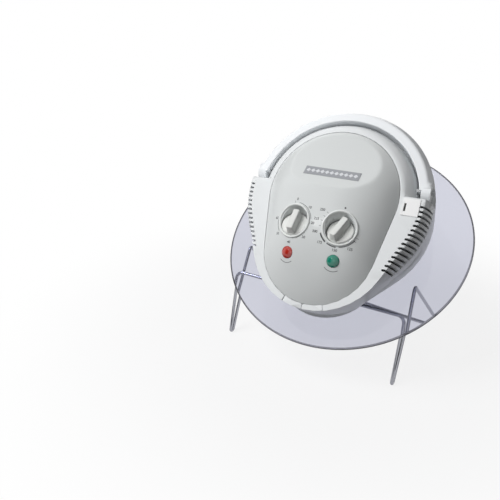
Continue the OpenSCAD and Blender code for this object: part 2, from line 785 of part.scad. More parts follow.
// Fan of flat blades standing on a disc
module fan(blades, r, blade_h, z, disc_z) {
    difference() {
        union() {
            translate([0, 0, disc_z]) cylinder(r = r*0.55, h = 1);
            translate([0, 0, z - 1]) cylinder(r = 8, h = blade_h);
            for (i = [0:blades - 1]) rotate([0, 0, i*360/blades])
                translate([7, 0, z]) rotate([0, 0, 12]) cube([r - 9, 1.2, blade_h]);
        }
        translate([0, 0, z - 5]) cylinder(d = shaft_d, h = blade_h + 10);
    }
}
module cooling_fan() { color("white") on_lid() fan(10, cool_fan_r, 11, shield_top + 4, shield_top + 3.5); }
module hot_air_fan() { color("silver") on_lid() fan(8, hot_fan_r, 12, lamp_z - 6, lamp_z + 4.5); }
module fan_nut() {
    color("silver") on_lid() difference() {
        translate([0, 0, guard_low + 5]) cylinder(r = 5, h = 4, $fn = 6);
        translate([0, 0, guard_low + 8]) cylinder(d = shaft_d, h = 10);
    }
}

// ---------- heater ----------
module reflector_pan() {
    color("gainsboro") on_lid() rotate_extrude($fn = 120) difference() {
        polygon([
            [7, pan_top], [pan_r - 4, pan_top], [pan_r, pan_low], [pan_r - sheet_t, pan_low],
            [pan_r - 4 - sheet_t, pan_top - sheet_t], [7, pan_top - sheet_t]]);
    }
}
lamp_gap = 26;
module halogen_lamp() {
    color([1, 0.95, 0.85, 0.6]) on_lid() translate([0, 0, lamp_z]) rotate([0, 0, 90 + lamp_gap/2])
        rotate_extrude(angle = 360 - lamp_gap, $fn = 120)
            translate([lamp_ring_r, 0]) circle(d = lamp_d, $fn = 24);
}
module lamp_holders() {
    color("white") on_lid() for (side = [-1, 1])
        rotate([0, 0, 90 + side*lamp_gap/2]) translate([lamp_ring_r, 0, 0])
            translate([-6, side > 0 ? -12 : 0, lamp_z - 6]) cube([12, 12, pan_top - sheet_t - lamp_z + 6]);
}
// Pressed guard dish with a crown of wall slots and two rows of floor slots: [row radius, slots]
guard_rows = [[16, 12], [45, 24]];
guard_slot_w = 5;
guard_slot_l = 20;
guard_rim_r = pan_r - 2;
guard_floor_r = pan_r - 14;
guard_hub_r = 5;
guard_wall_z = 8;
guard_windows = 24;
module guard_slot(from, run) {
    linear_extrude(3*guard_depth, center = true) {
        translate([from, -guard_slot_w/2]) square([run, guard_slot_w]);
        for (x = [from, from + run]) translate([x, 0]) circle(d = guard_slot_w, $fn = 12);
    }
}
module guard_grille() {
    color("silver") on_lid() difference() {
        rotate_extrude($fn = 120) polygon([
            [guard_rim_r, pan_low - rest_gap], [guard_rim_r, guard_low + guard_wall_z],
            [guard_floor_r, guard_low], [guard_hub_r, guard_low],
            [guard_hub_r, guard_low + sheet_t], [guard_floor_r - sheet_t/2, guard_low + sheet_t],
            [guard_rim_r - sheet_t, guard_low + guard_wall_z + sheet_t/2],
            [guard_rim_r - sheet_t, pan_low - rest_gap]]);
        translate([0, 0, guard_low]) for (row = guard_rows) for (i = [0:row[1] - 1])
            rotate([0, 0, i*360/row[1]]) guard_slot(row[0], guard_slot_l);
        for (i = [0:guard_windows - 1]) rotate([0, 0, (i + 0.5)*360/guard_windows])
            translate([guard_rim_r - 8, -guard_slot_w/2, guard_low + guard_wall_z + 2])
                cube([16, guard_slot_w, guard_depth - guard_wall_z - 5]);
    }
}
module guard_screws() {
    color("silver") on_lid() for (a = [60:120:300]) rotate([0, 0, a])
        translate([neck_r - wall/2, 0, pan_top - sheet_t - 2]) cylinder(r = 3, h = 2);
}
// Round cut-out on its flange, with two upright tabs
module thermal_fuse() {
    color("white") on_lid() translate([-20, 55, shield_top]) {
        cylinder(r = 9, h = 1.5);
        cylinder(r = 7, h = 9);
        for (x = [-1, 1]) translate([x*4 - 1.5, -0.4, 8]) cube([3, 0.8, 7]);
    }
}

// ---------- cord inlet, fixings ----------
gland_r = 7;
gland_share = 0.18;
gland_egg = hull_egg(gland_share);
gland_y = gland_egg[0] + gland_egg[1] - 2.3;
gland_z = 22;
gland_l = 17;
gland_flange_t = 3;
cord_hole_r = 4;
module cord_way() {
    translate([0, gland_y, gland_z]) rotate([-90, 0, 0]) children();
}
module cord_gland() {
    neck_from = gland_flange_t*3 - gland_l;
    color("white") on_lid() cord_way() difference() {
        union() {
            translate([0, 0, neck_from]) cylinder(r = gland_r - run_gap, h = gland_l - 1);
            translate([0, 0, 2*gland_flange_t]) cylinder(r = gland_r + 3, h = gland_flange_t);
        }
        translate([0, 0, neck_from - 1]) cylinder(r = cord_hole_r, h = gland_l + 2);
    }
}
module housing_screws() {
    color("silver") on_lid() at_screws() {
        cylinder(r = screw_head_r, h = screw_head_h);
        cylinder(r = screw_r, h = boss_h - 2);
    }
}

// ---------- handle ----------
module handle_section() {
    hull() {
        translate([handle_in + 2, -handle_low + 2]) circle(r = 2, $fn = 24);
        translate([handle_out - 3, -handle_low + 3]) circle(r = 3, $fn = 24);
        translate([handle_in + 1.5, handle_top - 1.5]) circle(r = 1.5, $fn = 24);
        translate([handle_out - 9, handle_top - 5]) circle(r = 4.6, $fn = 32);
        translate([handle_out - 6, 2]) circle(r = 6, $fn = 32);
    }
}
// Hollow of the handle, open below, which starts behind the eyes
hollow_from = 9;
module handle_hollow() {
    inner = handle_in + handle_wall;
    outer = handle_out - handle_wall;
    polygon([
        [inner, -handle_low - 1], [outer - 1, -handle_low - 1], [outer, 2],
        [outer - 5, handle_top - 2*handle_wall], [inner, handle_top - 2*handle_wall]]);
}
// Turned part of the handle, between the ends at a given angle behind the pivots
module handle_band(from) {
    translate([0, dome_y, 0]) rotate([0, 0, from])
        rotate_extrude(angle = 180 - 2*from, $fn = 144) children();
}
module handle() {
    color([0.90, 0.91, 0.92]) on_brim() difference() {
        union() {
            handle_band(pivot_angle) handle_section();
            for (side = [-1, 1]) translate([side*eye_x, pivot_y, pivot_z])
                rotate([0, 90, 0]) cylinder(r = eye_r, h = eye_w, center = true);
        }
        handle_band(pivot_angle + hollow_from) handle_hollow();
        for (side = [-1, 1]) translate([side*handle_mid, pivot_y, pivot_z])
            rotate([0, 90, 0]) cylinder(d = pin_d + 2*run_gap, h = 3*handle_w, center = true);
    }
}
module pivot_pins() {
    color("silver") on_brim() for (side = [-1, 1]) translate([side*pin_from, pivot_y, pivot_z])
        rotate([0, side*90, 0]) cylinder(d = pin_d, h = eye_x + eye_w/2 - pin_from - move_gap);
}

// Thin cover plate on the right wing with a narrow slot for the latch
latch_w = 20;
latch_t = 1;
latch_x = egg_side(rim_egg, 0) - slot_depth - latch_w + 0.4;
latch_y = -9;
module latch_block() {
    color("white") on_brim() difference() {
        translate([latch_x, latch_y, rim_z]) cube([latch_w, latch_w + 1, latch_t]);
        translate([latch_x + 2, latch_y + 5, rim_z + latch_t/2]) cube([2.5, latch_w/2, latch_t]);
    }
}
// Switch that the latch presses, with its plunger and two tabs
module safety_switch() {
    color("dimgray") on_brim() translate([latch_x - 4, latch_y + 2, rim_z - wall - 22]) {
        cube([10, 16, 16]);
        translate([5, 8, 0]) cylinder(r = 2, h = 19);
        for (y = [3, 11]) translate([4, y, -5]) cube([1, 3, 6]);
    }
}

lid_stand();
glass_lid();
glass_seal();
lower_housing();
upper_housing();
control_panel();
power_lens();
heat_lens();
signal_lamps();
timer_unit();
timer_bell();
thermostat();
thermostat_bulb();
terminal_block();
wire_harness();
heat_shield();
motor_posts();
motor_plate();
motor_core();
motor_coil();
shaft_bushes();
reflector_pan();
halogen_lamp();
lamp_holders();
guard_grille();
guard_screws();
thermal_fuse();
cord_gland();
housing_screws();
pivot_pins();
latch_block();
safety_switch();
fan_shaft();
motor_rotor();
cooling_fan();
hot_air_fan();
fan_nut();
timer_knob();
timer_spindle();
temperature_knob();
temperature_spindle();
handle();
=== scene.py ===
import json
import math

import bmesh
import bpy
from mathutils import Matrix, Vector


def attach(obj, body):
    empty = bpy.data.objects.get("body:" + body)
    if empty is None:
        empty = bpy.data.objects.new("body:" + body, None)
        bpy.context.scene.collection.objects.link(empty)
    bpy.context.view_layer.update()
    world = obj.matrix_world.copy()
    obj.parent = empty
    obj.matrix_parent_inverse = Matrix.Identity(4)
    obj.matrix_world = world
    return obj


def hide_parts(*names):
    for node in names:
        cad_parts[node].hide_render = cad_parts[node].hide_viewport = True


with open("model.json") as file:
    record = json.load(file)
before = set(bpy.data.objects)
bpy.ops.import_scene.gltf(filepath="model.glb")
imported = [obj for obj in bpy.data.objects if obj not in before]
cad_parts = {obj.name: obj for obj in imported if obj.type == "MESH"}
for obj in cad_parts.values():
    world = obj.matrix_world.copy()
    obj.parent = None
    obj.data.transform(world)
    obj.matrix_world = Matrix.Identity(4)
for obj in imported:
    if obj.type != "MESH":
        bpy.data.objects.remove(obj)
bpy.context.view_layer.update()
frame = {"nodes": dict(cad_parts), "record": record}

nodes = frame["nodes"]
bodies = frame["record"]["behaviour"]["bodies"]
body_of = {node: body for body, members in bodies.items() for node in members}
MM = 0.001

# ---------------------------------------------------------------- sizes, in mm
# The solid part's own sizes have its values here.
# front bar of the stand, and the lid that leans on it
FRONT_Y = -90.5
BAR_Y = 20.5
BAR_Z = 91.0
WIRE_R = 2.3
LID_RUN = 92.0
REST_GAP = 0.3
LID_TILT = 33.4
LID_TURN = 2.6

# glass
GLASS_R = 170.0
GLASS_T = 4.5
GLASS_HOLE_R = 64.0

# brim of the heating head, and the panel that sits in it
BRIM_H = 75.0
BRIM_TILT = 20.5
RIM_Z = 28.0
PANEL_R = 84.0
PANEL_Y = 4.0
PANEL_NOSE_R = 72.0
PANEL_NOSE_Y = -66.0
PANEL_CROWN = 30.0
PANEL_WALL = 2.5
PANEL_GAP = 0.6
PANEL_SKIRT = 3.0
BROW_Y = 4.0
BROW_SLOPE = 29.0
BROW_RUN = PANEL_Y + PANEL_R + PANEL_GAP - BROW_Y
BROW_EASE = 0.46
CREASE = 0.5
MOVE_GAP = 0.5

# knobs, their wells and the raised lips round the wells
KNOB_X = 29.5
KNOB_Y = -43.5
WELL_R = 17.6
WELL_DEPTH = 12.0
CUP_WALL = 2.0
LIP_IN_R = WELL_R + 1.4
LIP_OUT_R = LIP_IN_R + 3.0
LIP_H = 1.8
KNOB_R = 16.5
DISC_T = 5.0
DISC_TOP = -WELL_DEPTH + MOVE_GAP + DISC_T
GRIP_H = 11.0
GRIP_W = 10.4
GRIP_L = 31.6
KNOB_SWING = -18.0

# signal lenses
LENS_X = 29.75
LENS_Y = -83.0
LENS_R = 7.5
LENS_DOME_R = 12.0
LENS_H = 3.0


def turn(degrees, axis):
    return Matrix.Rotation(math.radians(degrees), 4, axis)


def shift(x, y, z):
    return Matrix.Translation(Vector((x, y, z)) * MM)


lean = turn(LID_TILT, "X")
slope = lean @ Vector((0, 1, 0))
glass_up = lean @ Vector((0, 0, 1))
bar_middle = Vector((0, FRONT_Y + BAR_Y, BAR_Z))
lid_middle = bar_middle + LID_RUN * slope + (WIRE_R + REST_GAP + GLASS_T) * glass_up
LID = Matrix.Translation(lid_middle * MM) @ lean @ turn(LID_TURN, "Z")
BRIM = LID @ shift(0, 0, BRIM_H) @ turn(BRIM_TILT, "X")


# ---------------------------------------------------------------- the panel's surface, in the brim frame
PANEL_LEAN = math.asin((PANEL_R - PANEL_NOSE_R) / (PANEL_Y - PANEL_NOSE_Y))
MIDDLE_SPOT = 0.001
FEELER = 0.5


def circle_share(x, y, radius, middle):
    """How far out a point lies, as a share of the way to a circle about a middle on the Y axis."""
    far = math.hypot(x, y)
    along = y * middle / far
    return far / (along + math.sqrt(along ** 2 - middle ** 2 + radius ** 2))


def panel_share(x, y):
    """How far out a point lies, as a share of the way to the panel's edge.

    The edge is a round nose, two straight sides and a round wide end.
    """
    across, down = math.cos(PANEL_LEAN), math.sin(PANEL_LEAN)
    if math.hypot(x, y) < MIDDLE_SPOT:
        return 0.0
    if y * PANEL_NOSE_R * across < abs(x) * (PANEL_NOSE_Y - PANEL_NOSE_R * down):
        return circle_share(x, y, PANEL_NOSE_R, PANEL_NOSE_Y)
    if y * PANEL_R * across < abs(x) * (PANEL_Y - PANEL_R * down):
        return (abs(x) * across - y * down) / (PANEL_NOSE_R - PANEL_NOSE_Y * down)
    return circle_share(x, y, PANEL_R, PANEL_Y)


def crown(share):
    return RIM_Z + PANEL_CROWN * (1 - share ** 3)


BROW_TOP = crown(BROW_Y / (PANEL_R + PANEL_Y))


def scooped(y, height):
    """The crown's height, taken down to the brow where that is lower, with a small round at the crease."""
    back = max(y - BROW_Y, 0)
    brow = BROW_TOP - math.tan(math.radians(BROW_SLOPE)) * (back - BROW_EASE * back ** 2 / BROW_RUN)
    near = max(CREASE - abs(height - brow), 0) / CREASE if y > BROW_Y - 2 * CREASE else 0
    cut = min(height, brow) if y > BROW_Y else height
    return cut - near ** 2 * CREASE / 4


def panel_height(x, y):
    return scooped(y, crown(panel_share(x, y)))


def on_panel(x, y):
    """The frame that stands square on the panel's surface at a place, inside the brim frame."""
    rise_x = (panel_height(x + FEELER, y) - panel_height(x - FEELER, y)) / (2 * FEELER)
    rise_y = (panel_height(x, y + FEELER) - panel_height(x, y - FEELER)) / (2 * FEELER)
    side_lean = Matrix.Rotation(-math.atan(rise_x), 4, "Y")
    front_lean = Matrix.Rotation(math.atan(rise_y), 4, "X")
    return shift(x, y, panel_height(x, y)) @ side_lean @ front_lean


def knob_frame(side):
    """The knobs' axes are parallel to the glass normal."""
    return shift(side * KNOB_X, KNOB_Y, panel_height(KNOB_X, KNOB_Y)) @ turn(-BRIM_TILT, "X")


# ---------------------------------------------------------------- camera
# Angles are in degrees, distance and target in m, lens and sensor in mm.
CAMERA_AZIMUTH = 30.48
CAMERA_ELEVATION = 24.78
CAMERA_ROLL = -0.11
CAMERA_DISTANCE = 0.8126
CAMERA_TARGET = Vector((-0.1236, -0.0505, 0.1203))
CAMERA_LENS = 40.217
CAMERA_SENSOR = 36


def aim_camera():
    """The photograph's view: its own distance, height, side and roll, fitted to the stand and the glass."""
    azimuth = math.radians(CAMERA_AZIMUTH)
    elevation = math.radians(CAMERA_ELEVATION)
    level = math.cos(elevation)
    back = Vector((math.sin(azimuth) * level, -math.cos(azimuth) * level, math.sin(elevation)))
    data = bpy.data.cameras.new("camera")
    data.sensor_width = CAMERA_SENSOR
    data.lens = CAMERA_LENS
    data.clip_start = 0.02
    data.clip_end = 30
    camera = bpy.data.objects.new("camera", data)
    bpy.context.scene.collection.objects.link(camera)
    stand = Matrix.Translation(CAMERA_TARGET + CAMERA_DISTANCE * back)
    look = back.to_track_quat("Z", "Y").to_matrix().to_4x4()
    camera.matrix_world = stand @ look @ turn(-CAMERA_ROLL, "Z")
    bpy.context.scene.camera = camera


aim_camera()


# ---------------------------------------------------------------- material helpers
FLOAT, COLOR, VECTOR = "NodeSocketFloat", "NodeSocketColor", "NodeSocketVector"
BUMP_DEPTH = 0.0002


def new_material(name):
    material = bpy.data.materials.new(name)
    material.use_nodes = True
    return material, material.node_tree.nodes, material.node_tree.links


def socket_group(name, inputs, outputs):
    """An empty shader group with named sockets: {name: (kind, value)} in, {name: kind} out."""
    group = bpy.data.node_groups.new(name, "ShaderNodeTree")
    for label, (kind, value) in inputs.items():
        socket = group.interface.new_socket(label, in_out="INPUT", socket_type=kind)
        socket.default_value = value
    for label, kind in outputs.items():
        group.interface.new_socket(label, in_out="OUTPUT", socket_type=kind)
    return group, group.nodes, group.links


def object_place(n):
    return n.new("ShaderNodeTexCoord").outputs["Object"]


def add_noise(n, l, at, scale=1.0, detail=2.0):
    noise = n.new("ShaderNodeTexNoise")
    noise.inputs["Scale"].default_value = scale
    noise.inputs["Detail"].default_value = detail
    l.new(at, noise.inputs["Vector"])
    return noise


def add_bump(n, l, height, distance, strength=1.0):
    bump = n.new("ShaderNodeBump")
    bump.inputs["Distance"].default_value = distance
    bump.inputs["Strength"].default_value = strength
    l.new(height, bump.inputs["Height"])
    return bump


def add_range(n, l, value, low, high, to_low=0.0, to_high=1.0):
    """Maps a value from one range to another and stops at its ends."""
    spread = n.new("ShaderNodeMapRange")
    spread.inputs["From Min"].default_value = low
    spread.inputs["From Max"].default_value = high
    spread.inputs["To Min"].default_value = to_low
    spread.inputs["To Max"].default_value = to_high
    l.new(value, spread.inputs["Value"])
    return spread


def add_math(n, l, operation, *values):
    """Arithmetic on the outputs of other nodes."""
    sum_up = n.new("ShaderNodeMath")
    sum_up.operation = operation
    for socket, value in zip(sum_up.inputs, values):
        l.new(value, socket)
    return sum_up.outputs["Value"]


def add_tint(n, l, share, color, other):
    """A colour that goes over into another one by a share."""
    tint = n.new("ShaderNodeMix")
    tint.data_type = "RGBA"
    l.new(share, tint.inputs["Factor"])
    l.new(color, tint.inputs["A"])
    l.new(other, tint.inputs["B"])
    return tint.outputs["Result"]


def build_moulded_skin():
    """Fine pebble of moulded plastic: a bump normal, a roughness that drifts, and a faint cloud of shade."""
    group, n, l = socket_group(
        "moulded_skin",
        {"Color": (COLOR, (0.8, 0.8, 0.8, 1)), "Shade": (COLOR, (0.7, 0.7, 0.7, 1)),
         "Pebble Scale": (FLOAT, 900.0), "Pebble Depth": (FLOAT, 0.05),
         "Roughness": (FLOAT, 0.35), "Drift": (FLOAT, 0.08)},
        {"Color": COLOR, "Roughness": FLOAT, "Normal": VECTOR})
    given = n.new("NodeGroupInput").outputs
    result = n.new("NodeGroupOutput").inputs
    at = object_place(n)
    pebble = add_noise(n, l, at)
    l.new(given["Pebble Scale"], pebble.inputs["Scale"])
    bump = add_bump(n, l, pebble.outputs["Fac"], BUMP_DEPTH)
    l.new(given["Pebble Depth"], bump.inputs["Strength"])
    cloud = add_noise(n, l, at, scale=14, detail=4).outputs["Fac"]
    patches = add_range(n, l, cloud, 0.45, 0.75, to_high=0.12).outputs["Result"]
    l.new(add_tint(n, l, patches, given["Color"], given["Shade"]), result["Color"])
    l.new(add_math(n, l, "MULTIPLY_ADD", cloud, given["Drift"], given["Roughness"]), result["Roughness"])
    l.new(bump.outputs["Normal"], result["Normal"])
    return group


def build_metal_skin():
    """Metal surface: fine drawn or rolled lines, smudges in the gloss, and a darker tint on the smudges."""
    group, n, l = socket_group(
        "metal_skin",
        {"Color": (COLOR, (0.6, 0.6, 0.6, 1)), "Tarnish": (COLOR, (0.4, 0.4, 0.4, 1)),
         "Grain": (VECTOR, (400.0, 400.0, 400.0)), "Grain Depth": (FLOAT, 0.03),
         "Roughness": (FLOAT, 0.2), "Smudge": (FLOAT, 0.15)},
        {"Color": COLOR, "Roughness": FLOAT, "Normal": VECTOR})
    given = n.new("NodeGroupInput").outputs
    result = n.new("NodeGroupOutput").inputs
    at = object_place(n)
    stretch = n.new("ShaderNodeVectorMath")
    stretch.operation = "MULTIPLY"
    l.new(at, stretch.inputs[0])
    l.new(given["Grain"], stretch.inputs[1])
    grain = add_noise(n, l, stretch.outputs["Vector"], detail=3)
    bump = add_bump(n, l, grain.outputs["Fac"], BUMP_DEPTH)
    l.new(given["Grain Depth"], bump.inputs["Strength"])
    smudge = add_noise(n, l, at, scale=22, detail=5).outputs["Fac"]
    patches = add_range(n, l, smudge, 0.4, 0.8).outputs["Result"]
    l.new(add_tint(n, l, patches, given["Color"], given["Tarnish"]), result["Color"])
    l.new(add_math(n, l, "MULTIPLY_ADD", patches, given["Smudge"], given["Roughness"]), result["Roughness"])
    l.new(bump.outputs["Normal"], result["Normal"])
    return group


moulded_skin = build_moulded_skin()
metal_skin = build_metal_skin()


def dressed(name, skin, values, **plain):
    """A Principled material fed by a skin group. Plain values sit on the shader's own sockets."""
    material, n, l = new_material(name)
    shader = n["Principled BSDF"]
    group = n.new("ShaderNodeGroup")
    group.node_tree = skin
    for label, value in values.items():
        group.inputs[label].default_value = value
    l.new(group.outputs["Color"], shader.inputs["Base Color"])
    l.new(group.outputs["Roughness"], shader.inputs["Roughness"])
    l.new(group.outputs["Normal"], shader.inputs["Normal"])
    for label, value in plain.items():
        shader.inputs[label.replace("_", " ")].default_value = value
    return material


def plastic(name, color, shade, pebble, roughness, **plain):
    values = {"Color": (*color, 1), "Shade": (*shade, 1), "Pebble Depth": pebble, "Roughness": roughness}
    return dressed(name, moulded_skin, values, **plain)


def metal(name, color, tarnish, grain, depth, roughness, smudge):
    values = {"Color": (*color, 1), "Tarnish": (*tarnish, 1), "Grain": grain, "Grain Depth": depth,
              "Roughness": roughness, "Smudge": smudge}
    return dressed(name, metal_skin, values, Metallic=1.0)


def clear_solid(name, color, ior=1.45, roughness=0.02):
    """Glass or clear acrylic with faint ripples."""
    material, n, l = new_material(name)
    shader = n["Principled BSDF"]
    ripple = add_noise(n, l, object_place(n), scale=9).outputs["Fac"]
    bump = add_bump(n, l, ripple, distance=0.001, strength=0.04)
    haze = add_range(n, l, ripple, 0, 1, to_low=roughness, to_high=roughness + 0.02)
    l.new(bump.outputs["Normal"], shader.inputs["Normal"])
    l.new(haze.outputs["Result"], shader.inputs["Roughness"])
    shader.inputs["Base Color"].default_value = (*color, 1)
    shader.inputs["IOR"].default_value = ior
    shader.inputs["Transmission Weight"].default_value = 1
    return material


# ---------------------------------------------------------------- materials
shell_white = plastic("shell_white", (0.74, 0.76, 0.77), (0.68, 0.70, 0.71),
                      pebble=0.04, roughness=0.30, Coat_Weight=0.12)
panel_white = plastic("panel_white", (0.62, 0.64, 0.64), (0.57, 0.59, 0.59),
                      pebble=0.05, roughness=0.27, Coat_Weight=0.15)
# The lips' plastic is the panel's plastic made lighter, as painted light on the raised rings.
panel_white_lit = plastic("panel_white_lit", (0.72, 0.74, 0.73), (0.66, 0.68, 0.67),
                    pebble=0.03, roughness=0.25, Coat_Weight=0.15)
handle_white = plastic("handle_white", (0.84, 0.86, 0.88), (0.78, 0.80, 0.82),
                       pebble=0.04, roughness=0.30, Coat_Weight=0.12)
knob_white = plastic("knob_white", (0.70, 0.71, 0.69), (0.64, 0.65, 0.63),
                     pebble=0.02, roughness=0.22, Coat_Weight=0.25)
plate_white = plastic("plate_white", (0.88, 0.88, 0.88), (0.82, 0.82, 0.83), pebble=0.02, roughness=0.35)
badge_grey = plastic("badge_grey", (0.30, 0.31, 0.33), (0.42, 0.43, 0.46), pebble=0.25, roughness=0.35)
badge_light = plastic("badge_light", (0.66, 0.67, 0.70), (0.55, 0.56, 0.60), pebble=0.1, roughness=0.4)
grey_ink = plastic("grey_ink", (0.05, 0.052, 0.055), (0.09, 0.092, 0.095), pebble=0.02, roughness=0.5)
black_phenolic = plastic("black_phenolic", (0.03, 0.03, 0.03), (0.06, 0.06, 0.06), pebble=0.1, roughness=0.5)
nylon = plastic("nylon", (0.76, 0.76, 0.72), (0.66, 0.65, 0.60), pebble=0.06, roughness=0.45)
ceramic = plastic("ceramic", (0.80, 0.78, 0.72), (0.60, 0.56, 0.50), pebble=0.3, roughness=0.7)
silicone = plastic("silicone", (0.09, 0.09, 0.095), (0.14, 0.14, 0.15), pebble=0.1, roughness=0.55)
red_insulation = plastic("red_insulation", (0.45, 0.04, 0.03), (0.30, 0.03, 0.02), pebble=0.1, roughness=0.5)
red_acrylic = plastic("red_acrylic", (0.42, 0.02, 0.01), (0.26, 0.008, 0.006),
                      pebble=0.0, roughness=0.1, Coat_Weight=0.7)
green_acrylic = plastic("green_acrylic", (0.004, 0.21, 0.14), (0.002, 0.12, 0.08),
                        pebble=0.0, roughness=0.1, Coat_Weight=0.7)

# The chrome's colour is set darker than bright chrome, as painted shade for the dark surroundings that its
# wire mirrors.
chrome = metal("chrome", (0.38, 0.385, 0.42), (0.29, 0.295, 0.32),
               grain=(300, 300, 300), depth=0.01, roughness=0.06, smudge=0.10)
zinc_sheet = metal("zinc_sheet", (0.55, 0.56, 0.57), (0.42, 0.42, 0.43),
                   grain=(60, 900, 60), depth=0.06, roughness=0.3, smudge=0.2)
bright_aluminium = metal("bright_aluminium", (0.74, 0.74, 0.75), (0.60, 0.60, 0.60),
                         grain=(900, 60, 60), depth=0.05, roughness=0.22, smudge=0.2)
turned_steel = metal("turned_steel", (0.5, 0.51, 0.52), (0.38, 0.38, 0.39),
                     grain=(60, 60, 1500), depth=0.05, roughness=0.25, smudge=0.15)
bronze = metal("bronze", (0.62, 0.44, 0.2), (0.42, 0.28, 0.12),
               grain=(500, 500, 500), depth=0.06, roughness=0.35, smudge=0.2)
iron = metal("iron", (0.24, 0.24, 0.25), (0.14, 0.12, 0.11),
             grain=(60, 60, 1800), depth=0.3, roughness=0.5, smudge=0.2)
copper = metal("copper", (0.66, 0.30, 0.12), (0.45, 0.18, 0.07),
               grain=(60, 60, 2200), depth=0.4, roughness=0.3, smudge=0.1)

lid_glass = clear_solid("lid_glass", (0.64, 0.65, 0.735))
# Dark glass for the lid's rim: painted shade for the dark line along the thick edge.
dark_rim_glass = clear_solid("dark_rim_glass", (0.10, 0.10, 0.12), roughness=0.2)
quartz = clear_solid("quartz", (0.97, 0.95, 0.9), ior=1.46, roughness=0.05)
neon = clear_solid("neon", (1.0, 0.62, 0.35))

FINISH = {
    "lid_stand": chrome, "guard_grille": chrome, "glass_lid": lid_glass, "glass_seal": silicone,
    "lower_housing": shell_white, "upper_housing": shell_white, "latch_block": plate_white,
    "control_panel": panel_white, "handle": handle_white,
    "timer_knob": knob_white, "temperature_knob": knob_white,
    "power_lens": red_acrylic, "heat_lens": green_acrylic, "signal_lamps": neon,
    "heat_shield": zinc_sheet, "motor_plate": zinc_sheet, "timer_bell": zinc_sheet, "motor_posts": zinc_sheet,
    "pivot_pins": turned_steel, "housing_screws": turned_steel, "guard_screws": turned_steel,
    "fan_nut": turned_steel, "fan_shaft": turned_steel, "timer_spindle": turned_steel,
    "temperature_spindle": turned_steel, "reflector_pan": bright_aluminium, "hot_air_fan": bright_aluminium,
    "halogen_lamp": quartz, "lamp_holders": ceramic, "thermal_fuse": ceramic, "terminal_block": ceramic,
    "motor_core": iron, "motor_rotor": iron, "motor_coil": copper, "shaft_bushes": bronze,
    "timer_unit": bronze, "thermostat_bulb": bronze, "safety_switch": black_phenolic,
    "thermostat": black_phenolic, "cooling_fan": nylon, "cord_gland": nylon, "wire_harness": red_insulation}


def dress(piece, material):
    piece.data.materials.clear()
    piece.data.materials.append(material)


for node_name, node in nodes.items():
    dress(node, FINISH[node_name])


# ---------------------------------------------------------------- making helpers
MERGE_REACH = 0.00001


def deselect_all():
    bpy.ops.object.select_all(action="DESELECT")


def pick(piece):
    deselect_all()
    piece.select_set(True)
    bpy.context.view_layer.objects.active = piece


def edit(piece):
    pick(piece)
    bpy.ops.object.mode_set(mode="EDIT")
    bpy.ops.mesh.select_all(action="SELECT")


def leave_edit():
    bpy.ops.object.mode_set(mode="OBJECT")


def select_where(piece, kind, test):
    """Selects the vertices, edges or faces of the piece in edit mode that pass a test."""
    bpy.ops.mesh.select_mode(type=kind)
    bpy.ops.mesh.select_all(action="DESELECT")
    mesh = bmesh.from_edit_mesh(piece.data)
    for part in {"VERT": mesh.verts, "EDGE": mesh.edges, "FACE": mesh.faces}[kind]:
        if test(part):
            part.select_set(True)
    bmesh.update_edit_mesh(piece.data)


def smooth(piece, degrees=35):
    pick(piece)
    bpy.ops.object.shade_smooth_by_angle(angle=math.radians(degrees))


def settle(piece):
    """Writes the object's own place, turn and size into its mesh."""
    pick(piece)
    bpy.ops.object.transform_apply(location=True, rotation=True, scale=True)


def place(piece, frame_at):
    piece.matrix_world = frame_at
    settle(piece)


def finish_with(piece, kind, **settings):
    modifier = piece.modifiers.new(kind.lower(), kind)
    for label, value in settings.items():
        setattr(modifier, label, value)
    pick(piece)
    bpy.ops.object.modifier_apply(modifier=modifier.name)


def even_normals(piece):
    edit(piece)
    bpy.ops.mesh.normals_make_consistent(inside=False)
    leave_edit()


def add_block(name, size, middle):
    """A box of a size, in mm, about a middle."""
    deselect_all()
    bpy.ops.mesh.primitive_cube_add(size=1, location=[v * MM for v in middle], scale=[v * MM for v in size])
    block = bpy.context.object
    block.name = name
    settle(block)
    return block


def pull_ring(before, after):
    """Draws the selected ring of edges from one (radius, height) to the next, in mm, about the Z axis.

    For the panel's rings the first number is a share of the way out.
    """
    share = after[0] / before[0]
    rise = (after[1] - before[1]) * MM
    bpy.ops.mesh.extrude_edges_move(TRANSFORM_OT_translate={"value": (0, 0, rise)})
    bpy.ops.transform.resize(value=(share, share, 1), center_override=(0, 0, after[1] * MM))


def turned(name, profile, sides=96, foot="NOTHING", top_closed=False, ring_closed=False, degrees=35):
    """A round piece drawn up from its lowest ring along (radius, height) steps, in mm, about the Z axis."""
    radius, height = profile[0]
    deselect_all()
    bpy.ops.mesh.primitive_circle_add(
        vertices=sides, radius=radius * MM, location=(0, 0, height * MM), fill_type=foot)
    piece = bpy.context.object
    piece.name = name
    settle(piece)
    edit(piece)
    for before, after in zip(profile, profile[1:]):
        pull_ring(before, after)
    if top_closed:
        bpy.ops.mesh.edge_face_add()
    bpy.ops.mesh.select_all(action="SELECT")
    if ring_closed:
        bpy.ops.mesh.remove_doubles(threshold=MERGE_REACH)
    bpy.ops.mesh.normals_make_consistent(inside=False)
    leave_edit()
    smooth(piece, degrees)
    return piece


def cut_away(piece, cutter):
    finish_with(piece, "BOOLEAN", operation="DIFFERENCE", object=cutter, solver="EXACT")
    bpy.data.objects.remove(cutter)


def add_on(piece, other):
    finish_with(piece, "BOOLEAN", operation="UNION", object=other, solver="EXACT")
    bpy.data.objects.remove(other)


def lay_on_panel(piece, frame_at):
    """Lets a flat piece, made round its own middle, down onto the panel's surface round a frame's place."""
    for vertex in piece.data.vertices:
        flat = frame_at @ Vector((vertex.co.x, vertex.co.y, 0)) / MM
        drop = panel_height(flat.x, flat.y) - flat.z
        vertex.co = frame_at @ vertex.co + Vector((0, 0, drop * MM))
    piece.data.update()


